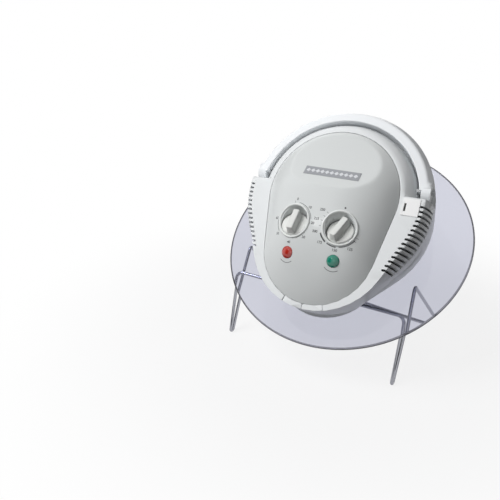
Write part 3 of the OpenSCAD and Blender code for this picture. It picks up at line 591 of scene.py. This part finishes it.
def joined(name, pieces):
    deselect_all()
    for piece in pieces:
        piece.select_set(True)
    bpy.context.view_layer.objects.active = pieces[0]
    bpy.ops.object.join()
    whole = bpy.context.object
    whole.name = name
    return whole


def hand_over(piece, body, material, node_names=()):
    """The piece moves with its body, takes a finish and stands for its nodes."""
    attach(piece, body)
    if node_names:
        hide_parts(*node_names)
    dress(piece, material)
    return piece


# ---------------------------------------------------------------- pieces that keep the node's own form
KEPT_FORMS = {
    "upper_housing": "upper_shell", "lower_housing": "lower_shell", "handle": "carry_grip",
    "lid_stand": "stand_wire", "latch_block": "cover_plate", "guard_grille": "guard_wires",
    "reflector_pan": "heat_dish", "halogen_lamp": "lamp_tube", "hot_air_fan": "air_fan",
    "glass_seal": "lid_seal", "pivot_pins": "hinge_pins", "cord_gland": "lead_gland"}


def smooth_copy(node_name, name):
    """The node's own form with its loose triangles merged and its curved faces shaded smooth."""
    piece = bpy.data.objects.new(name, nodes[node_name].data.copy())
    bpy.context.scene.collection.objects.link(piece)
    edit(piece)
    bpy.ops.mesh.remove_doubles(threshold=MERGE_REACH)
    leave_edit()
    smooth(piece)
    finish_with(piece, "WEIGHTED_NORMAL", keep_sharp=True)
    hand_over(piece, body_of[node_name], FINISH[node_name], [node_name])


for node_name, piece_name in KEPT_FORMS.items():
    smooth_copy(node_name, piece_name)


# ---------------------------------------------------------------- glass lid
GLASS_SIDES = 180
EDGE_STEPS = 8
DARK_RIM_W = 2.0


def make_glass_disc():
    """A ring of toughened glass with a half-round edge, whose faces take a dark glass as painted shade."""
    edge_r = GLASS_T / 2
    angles = [math.pi * (i / EDGE_STEPS - 0.5) for i in range(EDGE_STEPS, -1, -1)]
    edge = [(GLASS_R - edge_r + edge_r * math.cos(a), -edge_r - edge_r * math.sin(a)) for a in angles]
    rings = [(GLASS_HOLE_R, -GLASS_T), *edge, (GLASS_HOLE_R, 0), (GLASS_HOLE_R, -GLASS_T)]
    disc = turned("glass_disc", rings, sides=GLASS_SIDES, ring_closed=True, degrees=40)
    hand_over(disc, "lid", lid_glass, ["glass_lid"])
    # The rim faces take the dark glass: painted shade along the edge.
    disc.data.materials.append(dark_rim_glass)
    for face in disc.data.polygons:
        if math.hypot(*face.center.xy) > (GLASS_R - DARK_RIM_W) * MM:
            face.material_index = 1
    place(disc, LID)


make_glass_disc()


# ---------------------------------------------------------------- painted shade in the cover plate's slot
SLOT_SIZE = (2.4, 9.8, 0.55)
SLOT_CORNER = (91.5, -3.9, RIM_Z + 0.3)
SLOT_ROUND = 0.12


def make_slot_shade_block():
    """A black block laid on the bottom of the cover plate's slot, as painted shade in the slot."""
    middle = [corner + size / 2 for corner, size in zip(SLOT_CORNER, SLOT_SIZE)]
    slot_shade_block = add_block("plate_slot_shade", SLOT_SIZE, middle)
    finish_with(slot_shade_block, "BEVEL", width=SLOT_ROUND * MM, segments=2)
    smooth(slot_shade_block)
    place(slot_shade_block, BRIM)
    # The block is black: painted shade in the slot.
    hand_over(slot_shade_block, "lid", black_phenolic)


make_slot_shade_block()


# ---------------------------------------------------------------- dial panel
PANEL_SIDES = 144
PANEL_RINGS = 44
INNER_SHARE = 0.01
SIDE_CUTS = 15
LONG_EDGE = 30.0
WELL_FIT = 0.2
CUTTER_H = 40.0


def make_panel_outline(name):
    """The panel's egg: a circle whose front part is moved forward and narrowed to the nose."""
    deselect_all()
    bpy.ops.mesh.primitive_circle_add(
        vertices=PANEL_SIDES, radius=PANEL_R * MM, location=(0, PANEL_Y * MM, (RIM_Z - PANEL_SKIRT) * MM))
    outline = bpy.context.object
    outline.name = name
    settle(outline)
    edit(outline)
    tangent_y = (PANEL_Y - PANEL_R * math.sin(PANEL_LEAN)) * MM
    select_where(outline, "VERT", lambda v: v.co.y < tangent_y)
    bpy.ops.transform.translate(value=(0, (PANEL_NOSE_Y - PANEL_Y) * MM, 0))
    narrow = PANEL_NOSE_R / PANEL_R
    bpy.ops.transform.resize(value=(narrow, narrow, 1), center_override=(0, PANEL_NOSE_Y * MM, 0))
    select_where(outline, "EDGE", lambda e: e.calc_length() > LONG_EDGE * MM)
    bpy.ops.mesh.subdivide(number_cuts=SIDE_CUTS)
    bpy.ops.mesh.select_all(action="SELECT")
    return outline


def round_cutter(radius, frame_at):
    deselect_all()
    bpy.ops.mesh.primitive_cylinder_add(vertices=96, radius=radius * MM, depth=CUTTER_H * MM)
    cutter = bpy.context.object
    place(cutter, frame_at)
    return cutter


def make_dial_panel():
    """The crowned cover: rings drawn in and up from its edge, a scooped brow, a wall, and the holes."""
    panel = make_panel_outline("dial_panel")
    shares = [1 - i / PANEL_RINGS for i in range(PANEL_RINGS)] + [INNER_SHARE]
    rings = [(1.0, RIM_Z - PANEL_SKIRT)] + [(share, crown(share)) for share in shares]
    for before, after in zip(rings, rings[1:]):
        pull_ring(before, after)
    bpy.ops.mesh.edge_face_add()
    leave_edit()
    for vertex in panel.data.vertices:
        if vertex.co.z > (RIM_Z - PANEL_SKIRT / 2) * MM:
            vertex.co.z = max(scooped(vertex.co.y / MM, vertex.co.z / MM), RIM_Z) * MM
    even_normals(panel)
    finish_with(panel, "SOLIDIFY", thickness=PANEL_WALL * MM, offset=-1)
    for side in (-1, 1):
        cut_away(panel, round_cutter(WELL_R + WELL_FIT, knob_frame(side)))
        cut_away(panel, round_cutter(LENS_R + MOVE_GAP / 2, on_panel(side * LENS_X, LENS_Y)))
    smooth(panel, 40)
    finish_with(panel, "WEIGHTED_NORMAL", keep_sharp=True)
    place(panel, BRIM)
    hand_over(panel, "lid", panel_white, ["control_panel"])


# ---------------------------------------------------------------- wells and lips
SPINDLE_HOLE_R = 3.5
WELL_ROUND = 0.6
RIM_BELOW = 1.0
SLIDES = 6
LIP_SUNK = 1.5
LIP_ROUND = 0.5


def slide_below_panel(point, axis):
    """Moves a point along an axis until it lies under the panel's surface. Each slide comes closer."""
    for _ in range(SLIDES):
        point = point + axis * (panel_height(point.x, point.y) - RIM_BELOW - point.z)
    return point


def make_well(side, name):
    """The cup that a knob turns in: floor, wall and a rim that follows the panel from below."""
    outer, low = WELL_R + CUP_WALL, -WELL_DEPTH - CUP_WALL
    rings = [(SPINDLE_HOLE_R, low), (outer, low), (outer, 0), (WELL_R, 0), (WELL_R, -WELL_DEPTH + WELL_ROUND),
             (WELL_R - WELL_ROUND, -WELL_DEPTH), (SPINDLE_HOLE_R, -WELL_DEPTH), (SPINDLE_HOLE_R, low)]
    cup = turned(name, rings, ring_closed=True)
    frame_at = knob_frame(side)
    axis = frame_at.to_3x3() @ Vector((0, 0, 1))
    for vertex in cup.data.vertices:
        if vertex.co.z > -1 * MM:
            vertex.co = frame_at.inverted() @ (slide_below_panel(frame_at @ vertex.co / MM, axis) * MM)
    place(cup, BRIM @ frame_at)
    hand_over(cup, "lid", panel_white)


def make_lip(side, name):
    """The raised ring round a well, laid on the panel."""
    third = (LIP_OUT_R - LIP_IN_R) / 3
    shoulder = LIP_H - LIP_ROUND
    rings = [(LIP_IN_R, -LIP_SUNK), (LIP_OUT_R, -LIP_SUNK), (LIP_OUT_R, LIP_H / 3),
             (LIP_OUT_R - LIP_ROUND, shoulder), (LIP_OUT_R - third, LIP_H), (LIP_IN_R + third, LIP_H),
             (LIP_IN_R + LIP_ROUND, shoulder), (LIP_IN_R, LIP_H / 3), (LIP_IN_R, -LIP_SUNK)]
    lip = turned(name, rings, ring_closed=True, degrees=50)
    lay_on_panel(lip, on_panel(side * KNOB_X, KNOB_Y))
    place(lip, BRIM)
    # The lip takes the lighter copy of the panel's plastic: painted light.
    hand_over(lip, "lid", panel_white_lit)


make_dial_panel()
make_well(-1, "timer_well")
make_well(1, "temperature_well")
make_lip(-1, "timer_lip")
make_lip(1, "temperature_lip")


# ---------------------------------------------------------------- knobs
DISC_FOOT_ROUND = 0.5
DISC_CORNER = ((0, 1.5), (0.2, 0.9), (0.7, 0.3), (1.5, 0))
DISC_MIDDLE_R = 0.5
GRIP_SUNK = 1.5
GRIP_TAPER = (0.74, 0.90, 1)
GRIP_SIDE_ROUND = 1.6
GRIP_TOP_ROUND = 0.9


def make_knob_disc(name):
    low = DISC_TOP - DISC_T
    rings = [(KNOB_R - DISC_FOOT_ROUND, low), (KNOB_R, low + DISC_FOOT_ROUND)]
    rings += [(KNOB_R - inward, DISC_TOP - down) for inward, down in DISC_CORNER]
    rings += [(DISC_MIDDLE_R, DISC_TOP)]
    return turned(name, rings, foot="NGON", top_closed=True)


def make_grip():
    """The tapered bar that fingers hold, with rounded corners."""
    height = GRIP_H + GRIP_SUNK
    top = DISC_TOP + GRIP_H
    grip = add_block("grip", (GRIP_W, GRIP_L, height), (0, 0, DISC_TOP - GRIP_SUNK + height / 2))
    edit(grip)
    select_where(grip, "FACE", lambda f: f.normal.z > 0.9)
    bpy.ops.transform.resize(value=GRIP_TAPER, center_override=(0, 0, top * MM))
    select_where(grip, "EDGE", lambda e: abs(e.verts[0].co.z - e.verts[1].co.z) > height / 2 * MM)
    bpy.ops.mesh.bevel(offset=GRIP_SIDE_ROUND * MM, segments=4, affect="EDGES")
    select_where(grip, "EDGE", lambda e: min(v.co.z for v in e.verts) > (top - 0.01) * MM)
    bpy.ops.mesh.bevel(offset=GRIP_TOP_ROUND * MM, segments=3, affect="EDGES")
    leave_edit()
    return grip


def make_knob(side, name, swing, body, node_name):
    """A round disc with a bar grip across it."""
    knob = make_knob_disc(name)
    add_on(knob, make_grip())
    smooth(knob, 32)
    place(knob, BRIM @ knob_frame(side) @ turn(swing, "Z"))
    hand_over(knob, body, knob_white, [node_name])


make_knob(-1, "timer_dial_knob", 0, "timer_dial", "timer_knob")
make_knob(1, "temperature_dial_knob", KNOB_SWING, "temperature_dial", "temperature_knob")


# ---------------------------------------------------------------- signal lenses
LENS_SUNK = 6.0
LENS_SIDE_TOP = 0.2
DOME_SHARES = (0.98, 0.94, 0.86, 0.72, 0.55, 0.38, 0.2, 0.03)


def make_lens(side, name, material, node_name):
    """A round cap with a domed top."""
    rings = [(LENS_R, -LENS_SUNK), (LENS_R, LENS_SIDE_TOP)]
    for r in (LENS_R * share for share in DOME_SHARES):
        rings.append((r, LENS_H - LENS_DOME_R + math.sqrt(LENS_DOME_R ** 2 - r ** 2)))
    lens = turned(name, rings, sides=64, foot="NGON", top_closed=True)
    place(lens, BRIM @ on_panel(side * LENS_X, LENS_Y))
    hand_over(lens, "lid", material, [node_name])


make_lens(-1, "red_signal_lens", red_acrylic, "power_lens")
make_lens(1, "green_signal_lens", green_acrylic, "heat_lens")


# ---------------------------------------------------------------- printed scales
# Angles are given as on a clock, in degrees clockwise from the top of the dial. Sizes are in mm.
INK_T = 0.06
BOLD = 0.08
BAND_STEP = 3
TICK_W = 0.5
TICK_IN = 22.6
TICK_OUT = 25.2

TIMER_NUMBER_SIZE = 4.5
MINUTE_STEP = 46.0
TIMER_TURN = -2.0
TIMER_NUMBER_R = (27.2, 25.9, 25.9, 25.9, 27.2, 27.2, 27.2)
TIMER_BANDS = ((6, 78, 23.0, 0.55), (232, 270, 23.6, 0.6))
TIMER_TICK = 352

TEMPERATURE_NUMBER_SIZE = 4.4
TEMPERATURE_TOP = 250
TEMPERATURE_STEP = 25
TEMPERATURE_NUMBERS = ((305.5, 31.5), (282, 31.0), (252, 30.0), (223, 29.0), (180, 27.0), (142, 27.5))
TEMPERATURE_TICKS = (311, 297, 283, 267, 119.5, 108)
TEMPERATURE_BANDS = ((245, 214, 23.4, 1.7), (208, 178, 23.2, 1.3), (169, 117, 23.0, 0.7))
DOT_R = 1.1
DOT_PLACE = (3, 25.0)
LENS_BAND = (142, 224, 12.5, 0.6)


def clock_point(degrees, radius):
    angle = math.radians(degrees)
    return radius * math.sin(angle), radius * math.cos(angle)


def make_number(text, degrees, radius, size):
    x, y = clock_point(degrees, radius)
    deselect_all()
    bpy.ops.object.text_add(location=(x * MM, y * MM, 0))
    number = bpy.context.object
    number.data.body = text
    number.data.size = size * MM
    number.data.extrude = INK_T * MM
    number.data.offset = BOLD * MM
    number.data.align_x = "CENTER"
    number.data.align_y = "CENTER"
    pick(number)
    bpy.ops.object.convert(target="MESH")
    settle(number)
    return number


def make_band(start, end, radius, width):
    """A printed arc between two clock angles, made from a plain strip that is bent round the dial."""
    steps = max(int(abs(end - start) / BAND_STEP), 2)
    deselect_all()
    bpy.ops.mesh.primitive_grid_add(x_subdivisions=steps, y_subdivisions=1, size=1)
    band = bpy.context.object
    for vertex in band.data.vertices:
        degrees = start + (end - start) * (vertex.co.x + 0.5)
        x, y = clock_point(degrees, radius + width * vertex.co.y)
        vertex.co = (x * MM, y * MM, 0)
    finish_with(band, "SOLIDIFY", thickness=2 * INK_T * MM, offset=0)
    return band


def make_tick(degrees):
    half = math.degrees(TICK_W / 2 / TICK_OUT)
    return make_band(degrees - half, degrees + half, (TICK_IN + TICK_OUT) / 2, TICK_OUT - TICK_IN)


def make_dot(degrees, radius):
    dot = turned("dot", [(DOT_R, -INK_T), (DOT_R, INK_T)], sides=24, foot="NGON", top_closed=True)
    place(dot, shift(*clock_point(degrees, radius), 0))
    return dot


def make_scale(name, marks, frame_at):
    """Joins printed marks and lays them on the panel."""
    scale = joined(name, marks)
    even_normals(scale)
    lay_on_panel(scale, frame_at)
    place(scale, BRIM)
    hand_over(scale, "lid", grey_ink)


def make_timer_scale():
    """Tens of minutes from 0 to 60."""
    marks = []
    for i, radius in enumerate(TIMER_NUMBER_R):
        marks.append(make_number(str(10 * i), MINUTE_STEP * i + TIMER_TURN, radius, TIMER_NUMBER_SIZE))
    marks += [make_band(*band) for band in TIMER_BANDS]
    marks += [make_tick(TIMER_TICK)]
    make_scale("timer_scale", marks, on_panel(-KNOB_X, KNOB_Y))


def make_temperature_scale():
    """Degrees from 125 to 250 in steps of 25, with a dot at the top."""
    marks = []
    for i, (degrees, radius) in enumerate(TEMPERATURE_NUMBERS):
        text = str(TEMPERATURE_TOP - TEMPERATURE_STEP * i)
        marks.append(make_number(text, degrees, radius, TEMPERATURE_NUMBER_SIZE))
    marks += [make_tick(degrees) for degrees in TEMPERATURE_TICKS]
    marks += [make_band(*band) for band in TEMPERATURE_BANDS]
    marks += [make_dot(*DOT_PLACE)]
    make_scale("temperature_scale", marks, on_panel(KNOB_X, KNOB_Y))


make_timer_scale()
make_temperature_scale()
for side, name in ((-1, "red_lens_mark"), (1, "green_lens_mark")):
    make_scale(name, [make_band(*LENS_BAND)], on_panel(side * LENS_X, LENS_Y))


# ---------------------------------------------------------------- plain strip on the brow
BADGE_X = 0.7
BADGE_Y = 24.8
BADGE_W = 72.5
BADGE_H = 13.0
BADGE_T = 0.5
BADGE_ROUND = 0.15
BADGE_TURN = -1.8
LOZENGE_COUNT = 11
LOZENGE_PITCH = 6.2
LOZENGE_R = 3.0
LOZENGE_SUNK = 0.1
LOZENGE_H = 0.2

badge_place = on_panel(BADGE_X, BADGE_Y) @ turn(BADGE_TURN, "Z")


def make_badge():
    deselect_all()
    bpy.ops.mesh.primitive_grid_add(x_subdivisions=36, y_subdivisions=8, size=1)
    badge = bpy.context.object
    badge.name = "badge_strip"
    badge.scale = (BADGE_W * MM, BADGE_H * MM, 1)
    settle(badge)
    finish_with(badge, "SOLIDIFY", thickness=BADGE_T * MM, offset=1)
    finish_with(badge, "BEVEL", width=BADGE_ROUND * MM, segments=2, limit_method="ANGLE")
    lay_on_panel(badge, badge_place)
    smooth(badge, 30)
    place(badge, BRIM)
    hand_over(badge, "lid", badge_grey)


def make_badge_lozenges():
    """A row of plain lozenges, each a copy of the first."""
    rings = [(LOZENGE_R, -LOZENGE_SUNK), (LOZENGE_R, 0.6 * LOZENGE_H), (LOZENGE_R - 0.2, LOZENGE_H)]
    first = turned("badge_lozenges", rings, sides=4, foot="NGON", top_closed=True)
    row = [first]
    for _ in range(1, LOZENGE_COUNT):
        copy = first.copy()
        copy.data = first.data.copy()
        bpy.context.scene.collection.objects.link(copy)
        row.append(copy)
    for i, lozenge in enumerate(row):
        place(lozenge, shift((i - (LOZENGE_COUNT - 1) / 2) * LOZENGE_PITCH, 0, BADGE_T))
    lozenges = joined("badge_lozenges", row)
    lay_on_panel(lozenges, badge_place)
    place(lozenges, BRIM)
    hand_over(lozenges, "lid", badge_light)


make_badge()
make_badge_lozenges()


# ---------------------------------------------------------------- floor, lamps and world, in m
LOOK_AT = Vector((0, 0, 0.15))
SKY_LIGHT = 0.14
FLOOR_SIZE = 12
FLOOR_GLOW = 0.85
FLOOR_NEAR = 0.2
FLOOR_FAR = 0.55
PAPER_LIT = (0.20, 0.20, 0.205, 1)
PAPER_SEEN = (0.60, 0.60, 0.61, 1)
CARD_BLACK = (0.01, 0.01, 0.012, 1)
CARD_Z = 0.002
FLAG_COUNT = 4
FLAG_START = -150
FLAG_STEP = 80
FLAG_AWAY = 1.5
FLAG_Z = 0.55
FLAG_W = 0.95
FLAG_H = 1.6


def seen_directly(n, l):
    """One where a ray comes straight from the camera, from a mirror or through glass."""
    path = n.new("ShaderNodeLightPath").outputs
    camera_or_mirror = add_math(n, l, "MAXIMUM", path["Is Camera Ray"], path["Is Glossy Ray"])
    return add_math(n, l, "MAXIMUM", camera_or_mirror, path["Is Transmission Ray"])


def make_floor():
    """White paper that keeps the object's soft shadow near it and fades into the white background.

    It throws little light up onto the object and looks paler itself.
    """
    deselect_all()
    bpy.ops.mesh.primitive_plane_add(size=FLOOR_SIZE, location=(0, 0, 0))
    floor = bpy.context.object
    floor.name = "studio_floor"
    material, n, l = new_material("studio_paper")
    shader = n["Principled BSDF"]
    shader.inputs["Roughness"].default_value = 0.9
    seen = seen_directly(n, l)
    tone = n.new("ShaderNodeMix")
    tone.data_type = "RGBA"
    tone.inputs["A"].default_value = PAPER_LIT
    tone.inputs["B"].default_value = PAPER_SEEN
    l.new(seen, tone.inputs["Factor"])
    l.new(tone.outputs["Result"], shader.inputs["Base Color"])
    reach = n.new("ShaderNodeVectorMath")
    reach.operation = "LENGTH"
    l.new(object_place(n), reach.inputs[0])
    fade = add_range(n, l, reach.outputs["Value"], FLOOR_NEAR, FLOOR_FAR, to_low=FLOOR_GLOW)
    fade.interpolation_type = "SMOOTHSTEP"
    white = n.new("ShaderNodeEmission")
    mix = n.new("ShaderNodeMixShader")
    l.new(add_math(n, l, "MULTIPLY", fade.outputs["Result"], seen), mix.inputs["Fac"])
    l.new(shader.outputs["BSDF"], mix.inputs[1])
    l.new(white.outputs["Emission"], mix.inputs[2])
    l.new(mix.outputs["Shader"], n["Material Output"].inputs["Surface"])
    dress(floor, material)


def light_world():
    """A dim even sky that looks white itself."""
    world = bpy.data.worlds.new("studio")
    bpy.context.scene.world = world
    world.use_nodes = True
    n, l = world.node_tree.nodes, world.node_tree.links
    sky = n["Background"]
    sky.inputs["Color"].default_value = (1, 1, 1, 1)
    strength = add_range(n, l, seen_directly(n, l), 0, 1, to_low=SKY_LIGHT)
    l.new(strength.outputs["Result"], sky.inputs["Strength"])


def hang_lamp(name, spot, size, power, mirrored=True):
    """A square lamp, in m and W. One that isn't mirrored leaves no bright window in the glass."""
    lamp = bpy.data.lights.new(name, "AREA")
    lamp.size = size
    lamp.energy = power
    holder = bpy.data.objects.new(name, lamp)
    holder.location = spot
    holder.rotation_euler = (Vector(spot) - LOOK_AT).to_track_quat("Z", "Y").to_euler()
    holder.visible_glossy = mirrored
    bpy.context.scene.collection.objects.link(holder)


def make_card(name, width, height, frame_at):
    """A black card that only mirrors see: it draws the dark streaks in the bright wire."""
    deselect_all()
    bpy.ops.mesh.primitive_plane_add(size=1)
    card = bpy.context.object
    card.name = name
    card.scale = (width, height, 1)
    settle(card)
    place(card, frame_at)
    material, n, _ = new_material(name + "_black")
    n["Principled BSDF"].inputs["Base Color"].default_value = CARD_BLACK
    dress(card, material)
    card.visible_camera = False
    card.visible_diffuse = False
    card.visible_transmission = False
    card.visible_shadow = False


def stand_flags():
    """Tall cards round the object, all facing it."""
    for i in range(FLAG_COUNT):
        azimuth = math.radians(FLAG_START + FLAG_STEP * i)
        spot = Vector((FLAG_AWAY * math.sin(azimuth), FLAG_AWAY * math.cos(azimuth), FLAG_Z))
        facing = (LOOK_AT - spot).to_track_quat("Z", "Y").to_matrix().to_4x4()
        make_card("flag_%d" % (i + 1), FLAG_W, FLAG_H, Matrix.Translation(spot) @ facing)


def lay_card(name, spot, width, depth):
    make_card(name, width, depth, Matrix.Translation((*spot, CARD_Z)))


make_floor()
light_world()
hang_lamp("key_lamp", (-0.78, -0.84, 1.4), size=0.9, power=26, mirrored=False)
hang_lamp("fill_lamp", (0.5, -1.5, 0.9), size=0.5, power=0.8)
hang_lamp("spark_lamp", (-0.45, -1.1, 1.1), size=0.12, power=0.9)
hang_lamp("back_lamp", (-0.3, 1.2, 1.3), size=1.0, power=5, mirrored=False)
stand_flags()
lay_card("right_card", (0.27, 0.0), width=0.16, depth=0.6)
lay_card("left_card", (-0.30, 0.0), width=0.18, depth=0.4)
lay_card("front_card", (-0.11, -0.27), width=0.44, depth=0.15)
bpy.context.scene.view_settings.view_transform = "Standard"
